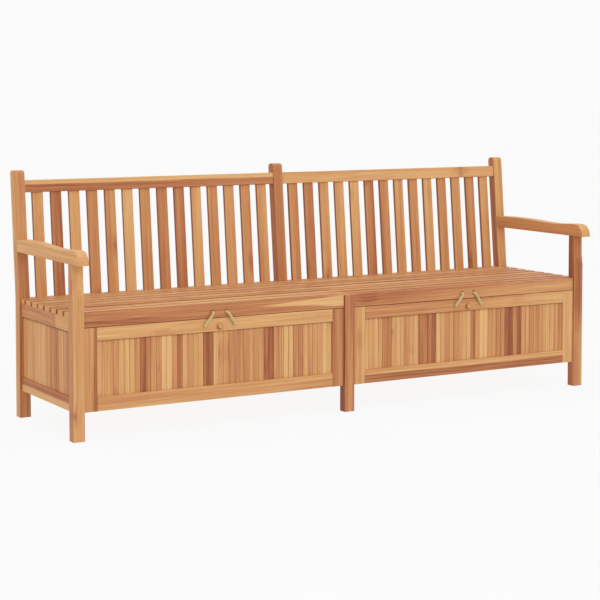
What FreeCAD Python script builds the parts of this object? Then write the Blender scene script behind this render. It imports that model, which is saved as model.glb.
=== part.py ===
"""Two-bay teak storage bench: slatted back, two armrests, and two hinged slatted lids over two boxes.

Millimetres.  +X runs along the bench, +Y towards its back, +Z up.  Inside this script y = 0 is the front
face of the front posts; every piece is moved by -CENTRE_Y when it is written, so that the origin ends up
at the bottom centre of the whole bench.  The right half (x > 0) is drawn and mirrored for the left half.
"""
import FreeCAD, Part
import math
import os

V = FreeCAD.Vector

# --- Driving sizes -------------------------------------------------------------------------------------
HEIGHT = 900.0            # top of the rear posts
POST_SPAN = 2202.0        # outer face to outer face of the end posts
POST_W = 42.0             # width of every post along X
FRONT_POST_D = 36.0       # depth of the front posts
REAR_POST_Y = 501.0       # front face of the rear posts at the floor
REAR_POST_D = 40.0        # depth of the rear posts
RAKE_Z = 440.0            # height where the rear posts start to lean back
RAKE_BACK = 44.0          # how far the post top leans back
POST_DOME_R = 15.0        # rounding of the rear posts' top edges
EDGE_R = 2.5              # softened edge of a post, arm or rail
SLAT_EDGE_R = 1.8         # softened edge of a slat

SEAT_Z = 436.0            # top of the seat slats
SEAT_SLAT_T = 17.0
SEAT_SLAT_W = 44.0
SEAT_PITCH = 60.0
FIRST_SLAT_Y = 52.0       # front edge of the first whole seat slat
LID_SLATS = 7             # whole slats on each lid
HINGE_STRIP_Y = 472.0     # front edge of the fixed slat that carries the hinges
HINGE_STRIP_W = 31.0      # reaches the back's lower rail
LID_GAP = 2.0             # gap at each end of a lid
LID_RAIL_Y = 6.0          # front face of the lid's front rail
LID_RAIL_T = 30.0
LID_RAIL_H = 48.0
LID_RAIL_R = 3.0
LID_OPEN_GAP = 0.3        # play between a closed lid and what it rests on

ARM_Z = 605.0             # underside of the arms
ARM_NOSE_Y = -46.0        # foremost point of the arms
ARM_NOSE_R = 45.0
ARM_NOSE_TOP = 653.0      # top of the arm just behind the nose
CUT_BACK = 6.0            # how far the upper front post is set back
CUT_BACK_Z = (490.0, 530.0)

PANEL_Z = 98.0            # underside of all panels
PANEL_RAIL_T = 22.0
FRONT_PANEL_Y = 7.0       # front face of the front panels
FRONT_PANEL_TOP = 386.5
FRONT_TOP_RAIL_H = 46.0
BOTTOM_RAIL_H = 50.0
STILE_W = 50.0
SIDE_RECESS = 9.0         # side panels behind the posts' outer faces
SIDE_TOP_RAIL_H = 47.0
BOARD_T = 14.0
BOARD_RECESS = 6.0        # boards behind the faces of their rails
BOARD_HOUSED = 6.0        # how far a board end sits in its rail
FRONT_BOARDS = 23
SIDE_BOARDS = 11
REAR_BOARDS = 25

BACK_RAIL_T = 28.0
BACK_RAIL_SET = 4.0       # back rails behind the posts' front faces
BACK_TOP_RAIL_H = 45.0
BACK_TOP_RAIL_TOP = 865.0
BACK_LOWER_RAIL_Y = 503.0
BACK_LOWER_RAIL_T = 30.0
BACK_LOWER_RAIL_H = 50.0
BACK_SLATS = 14
BACK_SLAT_W = 42.0
BACK_SLAT_T = 13.0
SLAT_HOUSED = 8.0

TENON = 14.0
TENON_SHOULDER = 6.0
POST_TENON_H = 18.0

FLOOR_Z = 118.0           # underside of the floor boards
FLOOR_T = 10.0
FLOOR_BOARDS = 5
FLOOR_GAP = 6.0
BEARER_W = 30.0
BEARERS = 3

BEARER_T = 20.0           # seat bearers along the sides and over the divider
SIDE_BEARER_IN = 24.0     # how far the side bearer reaches under the lid
CENTRE_BEARER_W = 70.0
BATTEN_W = 30.0
BATTEN_T = 22.0
BATTEN_OFFSETS = (-430.0, 0.0, 430.0)

HINGE_OFFSETS = (-400.0, 0.0, 400.0)
HINGE_L = 60.0
KNUCKLES = 5
KNUCKLE_GAP = 0.3
BARREL_R = 4.0
PIN_R = 2.0
PIN_CLEARANCE = 0.05
HINGE_Y = 464.0
HINGE_Z = 431.5
LEAF_T = 2.0
LEAF_Z = (419.8, 435.0)
LEAF_SCREW_Z = 423.6
LEAF_SCREWS = (-20.0, 0.0, 20.0)

KNOB_R = 11.0
KNOB_NECK_R = 7.0
KNOB_OUT = 12.0
KNOB_Z = 357.0

ROPE_R = 5.5
ROPE_HALF_SPACING = 27.5
ROPE_Z = 410.0
ROPE_HOLE_R = 6.2
ROPE_FLARE_R = 8.0
ROPE_FLARE_L = 3.0
KNOT_R = 8.0
# Route of the right-hand tail of a pair: (out along X from its hole, y, z).
ROPE_ROUTE = [(0.0, 16.0, ROPE_Z), (0.0, 1.5, ROPE_Z), (5.5, -6.5, 401.0), (17.5, -2.5, 383.5), (34.5, 1.0, 361.0)]

# --- Worked out from the driving sizes -----------------------------------------------------------------
END_X = POST_SPAN / 2                     # outer face of the right end posts
INNER_X = END_X - POST_W                  # inner face of the right end posts
BAY_X0 = POST_W / 2                       # the right bay's clear width
BAY_X1 = INNER_X
BAY_MID = (BAY_X0 + BAY_X1) / 2
SEAT_UNDER = SEAT_Z - SEAT_SLAT_T
SIDE_X = END_X - SIDE_RECESS              # outer face of the right side panel
RAKE_RAD = math.atan2(RAKE_BACK, HEIGHT - RAKE_Z)
RAKE = math.degrees(RAKE_RAD)
DOME_LOSS = POST_DOME_R * (math.tan(RAKE_RAD) + 1 / math.cos(RAKE_RAD) - 1)
BACK_MOST_Y = REAR_POST_Y + REAR_POST_D + RAKE_BACK - DOME_LOSS
CENTRE_Y = (BACK_MOST_Y + ARM_NOSE_Y) / 2
LID_X0 = BAY_X0 + LID_GAP
LID_X1 = BAY_X1 - LID_GAP


# --- Small builders ------------------------------------------------------------------------------------
def box(x, y, z):
    """A box from its (low, high) pairs."""
    return Part.makeBox(x[1] - x[0], y[1] - y[0], z[1] - z[0], V(x[0], y[0], z[0]))


def direction(edge):
    a = edge.Vertexes[0].Point
    b = edge.Vertexes[-1].Point
    return (b - a).normalize()


def soft_box(x, y, z, along, radius):
    """A box whose four long edges, those along the vector given, are rounded."""
    raw = box(x, y, z)
    edges = [e for e in raw.Edges if abs(direction(e).dot(along)) > 0.99]
    return raw.makeFillet(radius, edges)


ALONG_X = V(1, 0, 0)
ALONG_Y = V(0, 1, 0)
ALONG_Z = V(0, 0, 1)


def side_profile(curves, x):
    """Extrude a closed outline in the YZ plane between two x values."""
    wire = Part.Wire([c.toShape() for c in curves])
    wire.translate(V(x[0], 0, 0))
    return Part.Face(wire).extrude(V(x[1] - x[0], 0, 0))


def line(a, b):
    return Part.LineSegment(V(0, *a), V(0, *b))


def mirrored(shape):
    return shape.mirror(V(0, 0, 0), ALONG_X)


def raked(shape):
    """Lean a piece back with the upper rear posts."""
    turned = shape.copy()
    turned.rotate(V(0, REAR_POST_Y, RAKE_Z), ALONG_X, -RAKE)
    return turned


def cut_by(shape, tools):
    return shape.cut(list(tools))


def save(name, solids):
    """Write one node; a list of solids becomes one group."""
    shape = solids[0] if len(solids) == 1 else Part.makeCompound(solids)
    shape = shape.copy()
    shape.translate(V(0, -CENTRE_Y, 0))
    shape.exportStep(f"parts/{name}.step")
    print(f"{name}: {len(solids)} solid(s), {shape.Volume / 1000:.1f} cm3, valid {shape.isValid()}")


def save_both(name, right):
    """Write a right-hand node and its mirror image."""
    save(f"right_{name}", right)
    save(f"left_{name}", [mirrored(s) for s in right])


def rail_x(x, y, z, radius=EDGE_R):
    """A rail along X with a tenon at each end."""
    tenon = box((x[0] - TENON, x[1] + TENON), inset(y), inset(z))
    return soft_box(x, y, z, ALONG_X, radius).fuse(tenon).removeSplitter()


def rail_y(x, y, z, radius=EDGE_R):
    """A rail along Y with a tenon at each end."""
    tenon = box(inset(x), (y[0] - TENON, y[1] + TENON), inset(z))
    return soft_box(x, y, z, ALONG_Y, radius).fuse(tenon).removeSplitter()


def inset(pair):
    return (pair[0] + TENON_SHOULDER, pair[1] - TENON_SHOULDER)


# --- Posts and arms ------------------------------------------------------------------------------------
def round_vertical_edges(shape, radius):
    edges = [e for e in shape.Edges if e.Length > 100 and abs(direction(e).z) > 0.98]
    return shape.makeFillet(radius, edges)


def rear_post(x0):
    """Upright to the seat, then leaning back, with a domed top."""
    front = REAR_POST_Y
    back = REAR_POST_Y + REAR_POST_D
    outline = [
        line((front, 0), (back, 0)),
        line((back, 0), (back, RAKE_Z)),
        line((back, RAKE_Z), (back + RAKE_BACK, HEIGHT)),
        line((back + RAKE_BACK, HEIGHT), (front + RAKE_BACK, HEIGHT)),
        line((front + RAKE_BACK, HEIGHT), (front, RAKE_Z)),
        line((front, RAKE_Z), (front, 0)),
    ]
    post = side_profile(outline, (x0, x0 + POST_W))
    top_edges = [e for e in post.Edges if all(abs(v.Z - HEIGHT) < 0.1 for v in e.Vertexes)]
    across = [e for e in top_edges if abs(direction(e).x) > 0.99]
    post = post.makeFillet(POST_DOME_R, across)
    return round_vertical_edges(post, EDGE_R)


def front_post(x0):
    """Upright under the arm, its face set back above the seat by a shallow curve, with a tenon on top."""
    low, high = CUT_BACK_Z
    mid = (low + high) / 2
    half = CUT_BACK / 2
    bulge = 1.2
    outline = [
        line((0, 0), (FRONT_POST_D, 0)),
        line((FRONT_POST_D, 0), (FRONT_POST_D, ARM_Z)),
        line((FRONT_POST_D, ARM_Z), (CUT_BACK, ARM_Z)),
        line((CUT_BACK, ARM_Z), (CUT_BACK, high)),
        Part.Arc(V(0, CUT_BACK, high), V(0, half + bulge, mid + 9), V(0, half, mid)),
        Part.Arc(V(0, half, mid), V(0, half - bulge, mid - 9), V(0, 0, low)),
        line((0, low), (0, 0)),
    ]
    post = side_profile(outline, (x0, x0 + POST_W))
    middle = (FRONT_POST_D + CUT_BACK) / 2
    tenon = box((x0 + 10, x0 + POST_W - 10), (middle - 9, middle + 9), (ARM_Z - 5, ARM_Z + POST_TENON_H))
    return post.fuse(tenon).removeSplitter()


def centre_leg():
    leg = soft_box((-POST_W / 2, POST_W / 2), (0, FRONT_POST_D), (0, SEAT_Z), ALONG_Z, EDGE_R)
    return leg


def rake_y(z):
    """Front face of a rear post at a height above the bend."""
    return REAR_POST_Y + RAKE_BACK * (z - RAKE_Z) / (HEIGHT - RAKE_Z)


def arm():
    """Flat below, gently waved on top, round-nosed at the front."""
    rear_top = 650.0
    wave = Part.BSplineCurve()
    wave.interpolate([
        V(0, rake_y(rear_top), rear_top),
        V(0, 400, 653.5),
        V(0, 290, 652),
        V(0, 190, 648),
        V(0, 105, 648),
        V(0, 40, 652),
        V(0, ARM_NOSE_Y + ARM_NOSE_R, ARM_NOSE_TOP),
    ])
    centre_z = ARM_NOSE_TOP - ARM_NOSE_R
    turn = math.radians(45)
    nose_mid = V(0, ARM_NOSE_Y + ARM_NOSE_R * (1 - math.sin(turn)), centre_z + ARM_NOSE_R * math.cos(turn))
    nose = Part.Arc(V(0, ARM_NOSE_Y + ARM_NOSE_R, ARM_NOSE_TOP), nose_mid, V(0, ARM_NOSE_Y, centre_z))
    outline = [
        wave,
        nose,
        line((ARM_NOSE_Y, centre_z), (ARM_NOSE_Y, ARM_Z)),
        line((ARM_NOSE_Y, ARM_Z), (rake_y(ARM_Z), ARM_Z)),
        line((rake_y(ARM_Z), ARM_Z), (rake_y(rear_top), rear_top)),
    ]
    body = side_profile(outline, (INNER_X, END_X))
    long_edges = [e for e in body.Edges if e.Length > 60 and abs(e.tangentAt(e.FirstParameter).x) < 0.1]
    body = body.makeFillet(EDGE_R, long_edges)
    tenon = box(
        (INNER_X + 10, END_X - 10),
        (rake_y(ARM_Z) - 20, rake_y(ARM_Z) + TENON),
        (ARM_Z + 10, rear_top - 10),
    )
    return body.fuse(tenon).removeSplitter()


# --- Boards --------------------------------------------------------------------------------------------
def board_outline(width, last):
    """Plan of one tongue-and-groove board, its face at y = 0: bevelled edges and a V down the middle."""
    bevel = 1.6
    v_half = 1.3
    tongue = (5.0, 9.0)
    slack = 0.1
    reach = 3.5
    face = [(bevel, 0), (width / 2 - v_half, 0), (width / 2, v_half), (width / 2 + v_half, 0), (width - bevel, 0)]
    edge = [(width, bevel)]
    if not last:
        edge += [(width, tongue[0] + slack), (width + reach - slack, tongue[0] + slack)]
        edge += [(width + reach - slack, tongue[1] - slack), (width, tongue[1] - slack)]
    rear = [(width, BOARD_T), (0, BOARD_T)]
    groove = [(0, tongue[1]), (reach, tongue[1]), (reach, tongue[0]), (0, tongue[0]), (0, bevel)]
    return face + edge + rear + groove


def board_row(length, count, z):
    """Upright boards side by side along X from x = 0, faces at y = 0."""
    width = length / count
    row = []
    for i in range(count):
        plan = [V(x + i * width, y, z[0]) for x, y in board_outline(width, i == count - 1)]
        face = Part.Face(Part.makePolygon(plan + [plan[0]]))
        row.append(face.extrude(V(0, 0, z[1] - z[0])))
    return row


def moved(solids, turn, offset):
    """Turn each solid about Z, then shift it."""
    out = []
    for solid in solids:
        piece = solid.copy()
        piece.rotate(V(0, 0, 0), ALONG_Z, turn)
        piece.translate(offset)
        out.append(piece)
    return out


# --- Panels of the right bay ---------------------------------------------------------------------------
def front_panel():
    y = (FRONT_PANEL_Y, FRONT_PANEL_Y + PANEL_RAIL_T)
    inner = (BAY_X0 + STILE_W, BAY_X1 - STILE_W)
    top = rail_x(inner, y, (FRONT_PANEL_TOP - FRONT_TOP_RAIL_H, FRONT_PANEL_TOP), SLAT_EDGE_R)
    bottom = rail_x(inner, y, (PANEL_Z, PANEL_Z + BOTTOM_RAIL_H), SLAT_EDGE_R)
    stile_z = (PANEL_Z, FRONT_PANEL_TOP)
    stiles = [soft_box((BAY_X0, inner[0]), y, stile_z, ALONG_Z, SLAT_EDGE_R)]
    stiles.append(soft_box((inner[1], BAY_X1), y, stile_z, ALONG_Z, SLAT_EDGE_R))
    stiles = [cut_by(s, [top, bottom]) for s in stiles]
    board_z = (PANEL_Z + BOTTOM_RAIL_H - BOARD_HOUSED, FRONT_PANEL_TOP - FRONT_TOP_RAIL_H + BOARD_HOUSED)
    boards = board_row(inner[1] - inner[0], FRONT_BOARDS, board_z)
    boards = moved(boards, 0, V(inner[0], FRONT_PANEL_Y + BOARD_RECESS, 0))
    return stiles, cut_by(top, boards), cut_by(bottom, boards), boards


def side_panel():
    x = (SIDE_X - PANEL_RAIL_T, SIDE_X)
    y = (FRONT_POST_D, REAR_POST_Y)
    top = rail_y(x, y, (SEAT_UNDER - SIDE_TOP_RAIL_H, SEAT_UNDER), SLAT_EDGE_R)
    bottom = rail_y(x, y, (PANEL_Z, PANEL_Z + BOTTOM_RAIL_H), SLAT_EDGE_R)
    board_z = (PANEL_Z + BOTTOM_RAIL_H - BOARD_HOUSED, SEAT_UNDER - SIDE_TOP_RAIL_H + BOARD_HOUSED)
    boards = board_row(y[1] - y[0], SIDE_BOARDS, board_z)
    boards = moved(boards, 90, V(SIDE_X - BOARD_RECESS, y[0], 0))
    return cut_by(top, boards), cut_by(bottom, boards), boards


def rear_panel():
    y = (BACK_LOWER_RAIL_Y + 4, BACK_LOWER_RAIL_Y + 4 + PANEL_RAIL_T)
    bottom = rail_x((BAY_X0, BAY_X1), y, (PANEL_Z, PANEL_Z + BOTTOM_RAIL_H), SLAT_EDGE_R)
    rail_under = SEAT_Z - BACK_LOWER_RAIL_H
    board_z = (PANEL_Z + BOTTOM_RAIL_H - BOARD_HOUSED, rail_under + BOARD_HOUSED)
    boards = board_row(BAY_X1 - BAY_X0, REAR_BOARDS, board_z)
    boards = moved(boards, 180, V(BAY_X1, y[1] - BOARD_RECESS, 0))
    return cut_by(bottom, boards), boards


def back(boards):
    """Lower rail, top rail and slats of the back in one bay."""
    bay = (BAY_X0, BAY_X1)
    lower_y = (BACK_LOWER_RAIL_Y, BACK_LOWER_RAIL_Y + BACK_LOWER_RAIL_T)
    lower = rail_x(bay, lower_y, (SEAT_Z - BACK_LOWER_RAIL_H, SEAT_Z))
    along = 1 / math.cos(math.radians(RAKE))
    top_z = RAKE_Z + (BACK_TOP_RAIL_TOP - RAKE_Z) * along
    set_y = REAR_POST_Y + BACK_RAIL_SET
    top = rail_x(bay, (set_y, set_y + BACK_RAIL_T), (top_z - BACK_TOP_RAIL_H, top_z))
    gap = (bay[1] - bay[0] - BACK_SLATS * BACK_SLAT_W) / (BACK_SLATS + 1)
    slat_y = set_y + (BACK_RAIL_T - BACK_SLAT_T) / 2
    slat_z = (SEAT_Z - SLAT_HOUSED, top_z - BACK_TOP_RAIL_H + SLAT_HOUSED)
    slats = []
    for i in range(BACK_SLATS):
        x0 = bay[0] + gap + i * (BACK_SLAT_W + gap)
        slat = soft_box((x0, x0 + BACK_SLAT_W), (slat_y, slat_y + BACK_SLAT_T), slat_z, ALONG_Z, SLAT_EDGE_R)
        slats.append(raked(slat))
    return cut_by(lower, slats + boards), cut_by(raked(top), slats), slats


# --- Fixed seat pieces, floor and divider --------------------------------------------------------------
def seat_slat_rows():
    """Front edges of the whole seat slats."""
    return [FIRST_SLAT_Y + i * SEAT_PITCH for i in range(LID_SLATS)]


def short_slats(x):
    """Fixed short slats in line with those of the lids, and the short end of the hinge strip."""
    rows = [(y, y + SEAT_SLAT_W) for y in seat_slat_rows()]
    rows.append((HINGE_STRIP_Y, REAR_POST_Y))
    return [soft_box(x, row, (SEAT_UNDER, SEAT_Z), ALONG_X, SLAT_EDGE_R) for row in rows]


def side_bearer():
    x = (INNER_X - SIDE_BEARER_IN, SIDE_X - PANEL_RAIL_T)
    top = SEAT_UNDER - LID_OPEN_GAP
    return box(x, (FRONT_POST_D + 2, REAR_POST_Y), (top - BEARER_T, top))


def divider():
    half = CENTRE_BEARER_W / 2
    bearer_z = (SEAT_UNDER - LID_OPEN_GAP - BEARER_T, SEAT_UNDER - LID_OPEN_GAP)
    y = (FRONT_POST_D + 2, REAR_POST_Y)
    bearer = box((-half, half), y, bearer_z)
    rail = soft_box((-11, 11), (FRONT_POST_D, REAR_POST_Y), (PANEL_Z, PANEL_Z + BOTTOM_RAIL_H), ALONG_Y, 2)
    board_z = (PANEL_Z + BOTTOM_RAIL_H - BOARD_HOUSED, bearer_z[0])
    boards = board_row(REAR_POST_Y - FRONT_POST_D, SIDE_BOARDS, board_z)
    boards = moved(boards, 90, V(BOARD_T / 2, FRONT_POST_D, 0))
    return bearer, cut_by(rail, boards), boards


def floor_boards():
    y0 = FRONT_PANEL_Y + PANEL_RAIL_T + 8
    y1 = BACK_LOWER_RAIL_Y - 4
    width = (y1 - y0 - (FLOOR_BOARDS - 1) * FLOOR_GAP) / FLOOR_BOARDS
    rows = []
    for i in range(FLOOR_BOARDS):
        row_y = y0 + i * (width + FLOOR_GAP)
        z = (FLOOR_Z, FLOOR_Z + FLOOR_T)
        rows.append(soft_box((BAY_X0 + 3, BAY_X1 - 3), (row_y, row_y + width), z, ALONG_X, SLAT_EDGE_R))
    return rows


def floor_bearers():
    y = (FRONT_PANEL_Y + PANEL_RAIL_T, BACK_LOWER_RAIL_Y + 4)
    span = BAY_X1 - BAY_X0
    out = []
    for i in range(BEARERS):
        x0 = BAY_X0 + span * (i + 0.5) / BEARERS - BEARER_W / 2
        out.append(box((x0, x0 + BEARER_W), y, (FLOOR_Z - BEARER_T, FLOOR_Z)))
    return out


def knob():
    """Turned knob on the front panel's top rail."""
    face = FRONT_PANEL_Y
    rim_y = face - KNOB_OUT / 2
    outline = [
        V(0, face, 0),
        V(KNOB_NECK_R, face, 0),
        V(KNOB_NECK_R, face - KNOB_OUT / 3, 0),
        V(KNOB_R, rim_y, 0),
    ]
    edges = [Part.LineSegment(a, b).toShape() for a, b in zip(outline, outline[1:])]
    crown = V(0, face - KNOB_OUT, 0)
    rise = rim_y - crown.y
    dome_r = (KNOB_R ** 2 + rise ** 2) / (2 * rise)
    half_turn = math.asin(KNOB_R / dome_r) / 2
    shoulder = V(dome_r * math.sin(half_turn), crown.y + dome_r * (1 - math.cos(half_turn)), 0)
    edges.append(Part.Arc(outline[-1], shoulder, crown).toShape())
    edges.append(Part.LineSegment(crown, outline[0]).toShape())
    solid = Part.Face(Part.Wire(edges)).revolve(V(0, 0, 0), ALONG_Y, 360)
    solid.translate(V(BAY_MID, 0, KNOB_Z))
    return solid


# --- Hinges --------------------------------------------------------------------------------------------
def screw(tip, head, head_r, shank_r):
    """A countersunk screw from its tip to the middle of its head."""
    axis = head - tip
    length = axis.Length
    cone_l = head_r - shank_r
    shank = Part.makeCylinder(shank_r, length - cone_l, tip, axis)
    cone = Part.makeCone(shank_r, head_r, cone_l, tip + axis * ((length - cone_l) / length), axis)
    return shank.fuse(cone).removeSplitter()


def leaf(mid_x, lid_side, bore_r):
    """One hinge leaf with its knuckles: the lid's has the even ones, the frame's the odd ones."""
    y_out = HINGE_STRIP_Y if not lid_side else FIRST_SLAT_Y + (LID_SLATS - 1) * SEAT_PITCH + SEAT_SLAT_W
    y = (y_out, y_out + LEAF_T) if lid_side else (y_out - LEAF_T, y_out)
    solid = box((mid_x - HINGE_L / 2, mid_x + HINGE_L / 2), y, LEAF_Z)
    pitch = HINGE_L / KNUCKLES
    first = 1 if lid_side else 0
    for i in range(first, KNUCKLES, 2):
        x0 = mid_x - HINGE_L / 2 + i * pitch + KNUCKLE_GAP / 2
        length = pitch - KNUCKLE_GAP
        barrel = Part.makeCylinder(BARREL_R, length, V(x0, HINGE_Y, HINGE_Z), ALONG_X)
        web = box((x0, x0 + length), sorted((HINGE_Y, y[0] + LEAF_T / 2)), (HINGE_Z - 1, HINGE_Z + 1))
        solid = solid.fuse([barrel, web])
    hole = Part.makeCylinder(bore_r, HINGE_L + 2, V(mid_x - HINGE_L / 2 - 1, HINGE_Y, HINGE_Z), ALONG_X)
    return solid.cut(hole).removeSplitter()


def hinge_pin(mid_x):
    pin = Part.makeCylinder(PIN_R, HINGE_L + 1, V(mid_x - HINGE_L / 2 - 0.5, HINGE_Y, HINGE_Z), ALONG_X)
    return pin


def leaf_screws(mid_x, lid_side):
    reach = 14.0
    out = []
    for dx in LEAF_SCREWS:
        if lid_side:
            head = V(mid_x + dx, HINGE_Y - 6, LEAF_SCREW_Z)
            tip = head - V(0, reach, 0)
        else:
            head = V(mid_x + dx, HINGE_Y + 6, LEAF_SCREW_Z)
            tip = head + V(0, reach, 0)
        out.append(screw(tip, head, 2.5, 1.3))
    return out


def hinge_places():
    return [BAY_MID + dx for dx in HINGE_OFFSETS]


# --- Lid -----------------------------------------------------------------------------------------------
def batten_screws():
    """Screws driven up through the battens, one under each slat and one under the front rail."""
    z0 = SEAT_UNDER - BATTEN_T
    rows = [y + SEAT_SLAT_W / 2 for y in seat_slat_rows()]
    out = []
    for dx in BATTEN_OFFSETS:
        for y in rows:
            out.append(screw(V(BAY_MID + dx, y, z0 + 32), V(BAY_MID + dx, y, z0), 3.6, 1.9))
    return out


def rope_holes():
    """Straight holes through the front rail, flared at the front."""
    out = []
    for side in (-1, 1):
        x = BAY_MID + side * ROPE_HALF_SPACING
        hole = Part.makeCylinder(ROPE_HOLE_R, LID_RAIL_T + 2, V(x, LID_RAIL_Y - 1, ROPE_Z), ALONG_Y)
        flare = Part.makeCone(ROPE_FLARE_R, ROPE_HOLE_R, ROPE_FLARE_L, V(x, LID_RAIL_Y, ROPE_Z), ALONG_Y)
        out += [hole, flare]
    return out


def lid():
    x = (LID_X0, LID_X1)
    rail_y_pair = (LID_RAIL_Y, LID_RAIL_Y + LID_RAIL_T)
    rail = soft_box(x, rail_y_pair, (SEAT_Z - LID_RAIL_H, SEAT_Z), ALONG_X, LID_RAIL_R)
    rail = cut_by(rail, rope_holes())
    z = (SEAT_UNDER, SEAT_Z)
    slats = [soft_box(x, (y, y + SEAT_SLAT_W), z, ALONG_X, SLAT_EDGE_R) for y in seat_slat_rows()]
    batten_y = (rail_y_pair[1], seat_slat_rows()[-1] + SEAT_SLAT_W - 6)
    battens = []
    for dx in BATTEN_OFFSETS:
        bx = (BAY_MID + dx - BATTEN_W / 2, BAY_MID + dx + BATTEN_W / 2)
        battens.append(box(bx, batten_y, (SEAT_UNDER - BATTEN_T, SEAT_UNDER)))
    leaves = [leaf(m, True, PIN_R + PIN_CLEARANCE) for m in hinge_places()]
    small = [s for m in hinge_places() for s in leaf_screws(m, True)]
    long = batten_screws()
    leaves = [cut_by(piece, small) for piece in leaves]
    slats = [cut_by(s, small + long) for s in slats]
    battens = [cut_by(b, long) for b in battens]
    return rail, slats, battens, leaves, small + long


# --- Rope tails ----------------------------------------------------------------------------------------
def rounded_route(points):
    """Straight runs joined by tangent arcs, each as large as its two runs allow."""
    edges = []
    at = points[0]
    for before, corner, after in zip(points, points[1:], points[2:]):
        inward = corner - before
        outward = after - corner
        shorter = min(inward.Length, outward.Length)
        turn = inward.getAngle(outward)
        cut = 0.45 * shorter
        radius = cut / math.tan(turn / 2)
        start = corner - inward.normalize() * cut
        end = corner + outward.normalize() * cut
        to_centre = (outward - inward).normalize()
        centre = corner + to_centre * (radius / math.cos(turn / 2))
        middle = centre - to_centre * radius
        print(f"  rope arc radius {radius:.1f}")
        if (start - at).Length > 0.01:
            edges.append(Part.LineSegment(at, start).toShape())
        edges.append(Part.Arc(start, middle, end).toShape())
        at = end
    edges.append(Part.LineSegment(at, points[-1]).toShape())
    return Part.Wire(edges)


def rope_tail(side):
    """A free rope end hanging from its hole; side is -1 or +1 within the pair."""
    x0 = BAY_MID + side * ROPE_HALF_SPACING
    points = [V(x0 + side * dx, y, z) for dx, y, z in ROPE_ROUTE]
    path = rounded_route(points)
    ring = Part.Wire([Part.makeCircle(ROPE_R, points[0], points[1] - points[0])])
    tube = path.makePipeShell([ring], True, True)
    expected = math.pi * ROPE_R ** 2 * path.Length
    print(f"  rope length {path.Length:.1f}, volume over section times length {tube.Volume / expected:.3f}")
    return tube


def rope_knot(side):
    """The stopper knot behind the rail, with the rope's stub that fills the hole."""
    x0 = BAY_MID + side * ROPE_HALF_SPACING
    start = ROPE_ROUTE[0][1]
    back_y = LID_RAIL_Y + LID_RAIL_T
    stub = Part.makeCylinder(ROPE_R, back_y + KNOT_R - start, V(x0, start, ROPE_Z), ALONG_Y)
    ball = Part.makeSphere(KNOT_R, V(x0, back_y + KNOT_R + 0.2, ROPE_Z))
    return stub.fuse(ball).removeSplitter()


# --- Assembly ------------------------------------------------------------------------------------------
def main():
    os.makedirs("parts", exist_ok=True)

    stiles, front_top, front_bottom, front_boards = front_panel()
    side_top, side_bottom, side_boards = side_panel()
    rear_bottom, rear_boards = rear_panel()
    lower_rail, top_rail, back_slats = back(rear_boards)
    bearer, divider_rail, divider_boards = divider()
    right_arm = arm()

    save_both("front_stiles", stiles)
    save_both("front_top_rail", [front_top])
    save_both("front_bottom_rail", [front_bottom])
    save_both("front_boards", front_boards)
    save_both("side_top_rail", [side_top])
    save("side_bottom_rails", [side_bottom, mirrored(side_bottom)])
    save_both("side_boards", side_boards)
    save_both("rear_boards", rear_boards)
    save("rear_bottom_rails", [rear_bottom, mirrored(rear_bottom)])
    save_both("back_lower_rail", [lower_rail])
    save_both("back_top_rail", [top_rail])
    save_both("back_slats", back_slats)
    save("centre_seat_bearer", [bearer])
    save("divider_bottom_rail", [divider_rail])
    save("divider_boards", divider_boards)

    post = cut_by(front_post(INNER_X), [side_top, side_bottom])
    save_both("front_post", [post])
    save("centre_front_leg", [centre_leg()])
    rails = [side_top, side_bottom, rear_bottom, lower_rail, top_rail, right_arm]
    save_both("rear_post", [cut_by(rear_post(INNER_X), rails)])
    centre_rails = [rear_bottom, lower_rail, top_rail]
    centre_rails += [mirrored(r) for r in centre_rails]
    save("centre_rear_post", [cut_by(rear_post(-POST_W / 2), centre_rails)])
    save_both("armrest", [cut_by(right_arm, [post])])

    end_slats = short_slats((INNER_X, SIDE_X))
    save("end_seat_slats", end_slats + [mirrored(s) for s in end_slats])
    save("centre_seat_slats", short_slats((-POST_W / 2, POST_W / 2)))
    bearer_right = side_bearer()
    save("side_seat_bearers", [bearer_right, mirrored(bearer_right)])
    floor = floor_boards()
    save("floor_boards", floor + [mirrored(b) for b in floor])
    bearers = floor_bearers()
    save("floor_bearers", bearers + [mirrored(b) for b in bearers])
    save("front_knobs", [knob(), mirrored(knob())])

    strip_y = (HINGE_STRIP_Y, HINGE_STRIP_Y + HINGE_STRIP_W)
    strip = soft_box((BAY_X0, BAY_X1), strip_y, (SEAT_UNDER, SEAT_Z), ALONG_X, SLAT_EDGE_R)
    frame_screws = [s for m in hinge_places() for s in leaf_screws(m, False)]
    frame_leaves = [cut_by(leaf(m, False, PIN_R + 0.03), frame_screws) for m in hinge_places()]
    pins = [hinge_pin(m) for m in hinge_places()]
    save_both("hinge_strip", [cut_by(strip, frame_screws)])
    save("frame_hinge_leaves", frame_leaves + [mirrored(s) for s in frame_leaves])
    save("frame_hinge_screws", frame_screws + [mirrored(s) for s in frame_screws])
    save("hinge_pins", pins + [mirrored(s) for s in pins])

    rail, slats, battens, leaves, lid_screws = lid()
    save_both("lid_front_rail", [rail])
    save_both("lid_slats", slats)
    save_both("lid_battens", battens)
    save_both("lid_hinge_leaves", leaves)
    save_both("lid_screws", lid_screws)
    save_both("rope_knots", [rope_knot(-1), rope_knot(1)])
    save_both("rope_inner", [rope_tail(-1)])
    save_both("rope_outer", [rope_tail(1)])


main()
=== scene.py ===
"""Two-bay teak storage bench: its finishes, rope tails, floor, light and camera, in metres."""
import bpy
import math
import random
from mathutils import Matrix, Vector


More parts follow.
